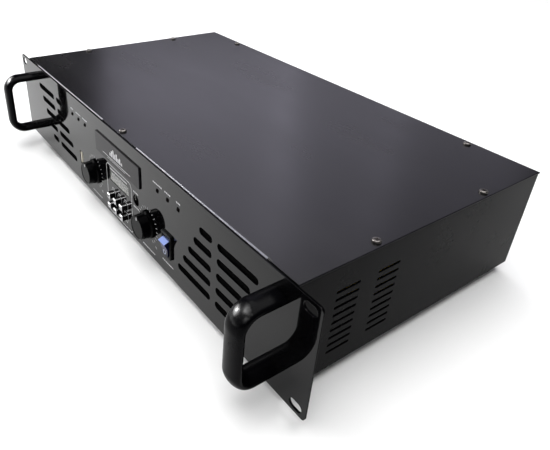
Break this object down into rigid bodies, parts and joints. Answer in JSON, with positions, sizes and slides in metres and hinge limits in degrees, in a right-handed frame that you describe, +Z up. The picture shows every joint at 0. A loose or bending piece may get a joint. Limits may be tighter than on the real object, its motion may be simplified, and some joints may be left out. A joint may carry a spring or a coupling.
{
  "type": "power amplifier",
  "caption": "Rack-mounted stereo power amplifier with front handles, turning volume controls, a small media player with push buttons, a rocker power switch and a rear fan.",
  "frame": {"origin": "bottom centre of the bounding box, on the floor under the feet", "axes": "+X along the front panel to the viewer's right, +Y from the front panel to the rear, +Z up"},
  "size_m": [0.4826, 0.287, 0.0959],
  "materials": {
    "panel_gloss": "mirror-gloss black front panel",
    "handle_black": "smooth gloss black coating",
    "badge_gloss": "glossy dark plate, slightly purple brown",
    "filter_foam": "open black foam",
    "lamp_smoke": "smoked lens",
    "knob_black": "polished black",
    "plated_metal": "bright nickel plate",
    "button_chrome": "chrome-plated plastic",
    "display_pane": "clear pane",
    "display_face": "reflective grey display",
    "black_plastic": "moulded, fine grain",
    "ivory_plastic": "moulded",
    "rocker_blue": "translucent blue with a grey-white face",
    "board_green": "solder-masked glass board",
    "cover_paint": "fine charcoal paint with a slight purple cast",
    "tray_paint": "fine charcoal paint",
    "zinc_steel": "zinc-plated",
    "rubber_black": "moulded",
    "turned_brass": "gold-coloured contacts",
    "fan_plastic": "glass-filled moulding",
    "winding_tape": "yellow polyester tape",
    "can_sleeve": "dark blue shrink sleeve",
    "sink_aluminium": "extruded, plain",
    "wire_sleeve": "sleeved wires",
    "ribbon_grey": "flat cable"
  },
  "bodies": {
    "chassis": {"front_panel": "panel_gloss", "handle_left": "handle_black", "handle_right": "handle_black", "handle_screws": "zinc_steel", "badge_plate": "badge_gloss", "vent_screens": "filter_foam", "signal_leds": "lamp_smoke", "led_spacers": "black_plastic", "control_board": "board_green", "display_lens": "display_pane", "display_module": "display_face", "usb_port": "plated_metal", "usb_tongue": "ivory_plastic", "aux_jack": "black_plastic", "tact_switches": "black_plastic", "volume_pots": "zinc_steel", "pot_nuts": "zinc_steel", "power_switch_housing": "black_plastic", "chassis_tray": "tray_paint", "top_cover": "cover_paint", "lid_rails": "zinc_steel", "cover_screws": "plated_metal", "rear_panel": "tray_paint", "chassis_screws": "zinc_steel", "feet": "rubber_black", "foot_screws": "zinc_steel", "mains_inlet": "black_plastic", "inlet_pins": "plated_metal", "fuse_holder": "black_plastic", "speaker_sockets": "black_plastic", "line_sockets": "turned_brass", "input_jacks": "black_plastic", "mode_switch": "black_plastic", "fan_frame": "fan_plastic", "fan_guard": "plated_metal", "fan_screws": "plated_metal", "toroidal_transformer": "winding_tape", "transformer_clamp": "zinc_steel", "power_supply_board": "board_green", "filter_capacitors": "can_sleeve", "amplifier_board": "board_green", "heatsinks": "sink_aluminium", "output_transistors": "black_plastic", "board_spacers": "turned_brass", "mains_harness": "wire_sleeve", "ribbon_cable": "ribbon_grey"},
    "left_knob": {"volume_knob_left": "knob_black", "volume_shaft_left": "plated_metal"},
    "right_knob": {"volume_knob_right": "knob_black", "volume_shaft_right": "plated_metal"},
    "power_rocker": {"power_rocker": "rocker_blue"},
    "fan_rotor": {"fan_rotor": "fan_plastic"},
    "fuse_cap": {"fuse_cap": "black_plastic"},
    "mode_slider": {"mode_slider": "ivory_plastic"},
    "media_button_1": {"media_button_1": "button_chrome"},
    "media_button_2": {"media_button_2": "button_chrome"},
    "media_button_3": {"media_button_3": "button_chrome"},
    "media_button_4": {"media_button_4": "button_chrome"},
    "media_button_5": {"media_button_5": "button_chrome"},
    "media_button_6": {"media_button_6": "button_chrome"}
  },
  "joints": [
    {"name": "left_knob_turn", "type": "hinge", "parent": "chassis", "child": "left_knob", "pos_m": [-0.051, -0.11065, 0.0348], "axis": [0, 1, 0], "range_deg": [-150, 150]},
    {"name": "right_knob_turn", "type": "hinge", "parent": "chassis", "child": "right_knob", "pos_m": [0.051, -0.11065, 0.0348], "axis": [0, 1, 0], "range_deg": [-150, 150]},
    {"name": "media_button_1_press", "type": "slide", "parent": "chassis", "child": "media_button_1", "axis": [0, 1, 0], "range_m": [0, 0.001], "stiffness_N_per_m": 400, "springref_m": -0.001},
    {"name": "media_button_2_press", "type": "slide", "parent": "chassis", "child": "media_button_2", "axis": [0, 1, 0], "range_m": [0, 0.001], "stiffness_N_per_m": 400, "springref_m": -0.001},
    {"name": "media_button_3_press", "type": "slide", "parent": "chassis", "child": "media_button_3", "axis": [0, 1, 0], "range_m": [0, 0.001], "stiffness_N_per_m": 400, "springref_m": -0.001},
    {"name": "media_button_4_press", "type": "slide", "parent": "chassis", "child": "media_button_4", "axis": [0, 1, 0], "range_m": [0, 0.001], "stiffness_N_per_m": 400, "springref_m": -0.001},
    {"name": "media_button_5_press", "type": "slide", "parent": "chassis", "child": "media_button_5", "axis": [0, 1, 0], "range_m": [0, 0.001], "stiffness_N_per_m": 400, "springref_m": -0.001},
    {"name": "media_button_6_press", "type": "slide", "parent": "chassis", "child": "media_button_6", "axis": [0, 1, 0], "range_m": [0, 0.001], "stiffness_N_per_m": 400, "springref_m": -0.001},
    {"name": "power_rocker_tilt", "type": "hinge", "parent": "chassis", "child": "power_rocker", "pos_m": [0.0823, -0.10665, 0.0342], "axis": [1, 0, 0], "range_deg": [-26, 0]},
    {"name": "fan_spin", "type": "hinge", "parent": "chassis", "child": "fan_rotor", "pos_m": [0.062, 0.12035, 0.051], "axis": [0, 1, 0], "continuous": true},
    {"name": "fuse_cap_turn", "type": "hinge", "parent": "chassis", "child": "fuse_cap", "pos_m": [0.132, 0.13355, 0.046], "axis": [0, 1, 0], "range_deg": [0, 90]},
    {"name": "mode_slider_slide", "type": "slide", "parent": "chassis", "child": "mode_slider", "axis": [1, 0, 0], "range_m": [0, 0.004]}
  ]
}
